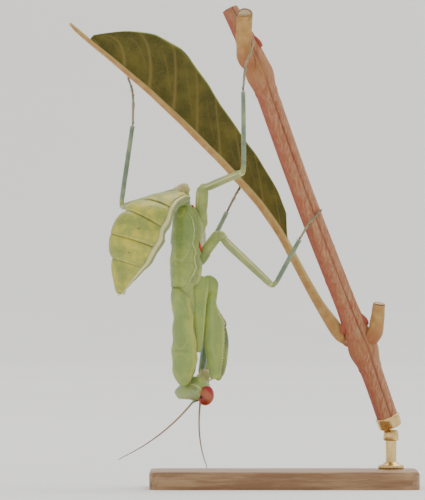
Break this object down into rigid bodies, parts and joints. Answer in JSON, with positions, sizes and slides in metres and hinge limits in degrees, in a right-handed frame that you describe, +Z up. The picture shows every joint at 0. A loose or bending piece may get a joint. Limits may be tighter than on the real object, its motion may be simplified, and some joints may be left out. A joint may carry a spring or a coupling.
{
  "type": "praying mantis nymph model",
  "caption": "Life-size still model of a pale green praying mantis nymph hanging head down from a twig and a leaf, held on a flat wooden display base.",
  "frame": {"origin": "centre of the stand base's underside", "axes": "+Z up; the viewer of the picture looks along +Y with +X to the right; the mantis hangs with its head towards -Z"},
  "size_m": [0.0492, 0.0301, 0.0677],
  "materials": {
    "abdomen_cuticle": "satin cast resin painted yellow green",
    "antenna_cuticle": "satin resin painted rust brown",
    "pale_cuticle": "satin resin painted cream",
    "eye_facets": "glossy resin painted crimson",
    "fore_leg_cuticle": "satin resin painted leaf green",
    "tibia_cuticle": "satin resin painted blue green",
    "thorax_cuticle": "satin resin painted sage green",
    "bark": "a twig's own bark, matt",
    "leaf_stalk": "leaf stalk, matt orange brown",
    "leaf_blade": "preserved leaf, satin olive",
    "oak": "oiled oak",
    "brass": "satin brass"
  },
  "bodies": {
    "root": {"abdomen_1": "abdomen_cuticle", "abdomen_2": "abdomen_cuticle", "abdomen_3": "abdomen_cuticle", "abdomen_4": "abdomen_cuticle", "abdomen_5": "abdomen_cuticle", "abdomen_6": "abdomen_cuticle", "antenna_left": "antenna_cuticle", "antenna_right": "antenna_cuticle", "cercus_left": "pale_cuticle", "cercus_right": "pale_cuticle", "eye_left": "eye_facets", "eye_right": "eye_facets", "fore_left_coxa": "fore_leg_cuticle", "fore_left_femur": "fore_leg_cuticle", "fore_left_tarsus": "pale_cuticle", "fore_left_tibia": "tibia_cuticle", "fore_right_coxa": "fore_leg_cuticle", "fore_right_femur": "fore_leg_cuticle", "fore_right_tarsus": "pale_cuticle", "fore_right_tibia": "tibia_cuticle", "head": "thorax_cuticle", "hind_left_coxa": "thorax_cuticle", "hind_left_femur": "thorax_cuticle", "hind_left_tarsus": "pale_cuticle", "hind_left_tibia": "tibia_cuticle", "hind_right_coxa": "thorax_cuticle", "hind_right_femur": "thorax_cuticle", "hind_right_tarsus": "pale_cuticle", "hind_right_tibia": "tibia_cuticle", "mesothorax": "thorax_cuticle", "metathorax": "thorax_cuticle", "mid_left_coxa": "thorax_cuticle", "mid_left_femur": "thorax_cuticle", "mid_left_tarsus": "pale_cuticle", "mid_left_tibia": "tibia_cuticle", "mid_right_coxa": "thorax_cuticle", "mid_right_femur": "thorax_cuticle", "mid_right_tarsus": "pale_cuticle", "mid_right_tibia": "tibia_cuticle", "mouthparts": "pale_cuticle", "neck": "thorax_cuticle", "perch_leaf_far": "leaf_blade", "perch_leaf_near": "leaf_blade", "perch_leaf_stalk": "leaf_stalk", "perch_stub_lower": "leaf_stalk", "perch_stub_upper": "leaf_stalk", "perch_twig": "bark", "prothorax": "thorax_cuticle", "stand_base": "oak", "stand_rod": "brass"}
  },
  "joints": []
}
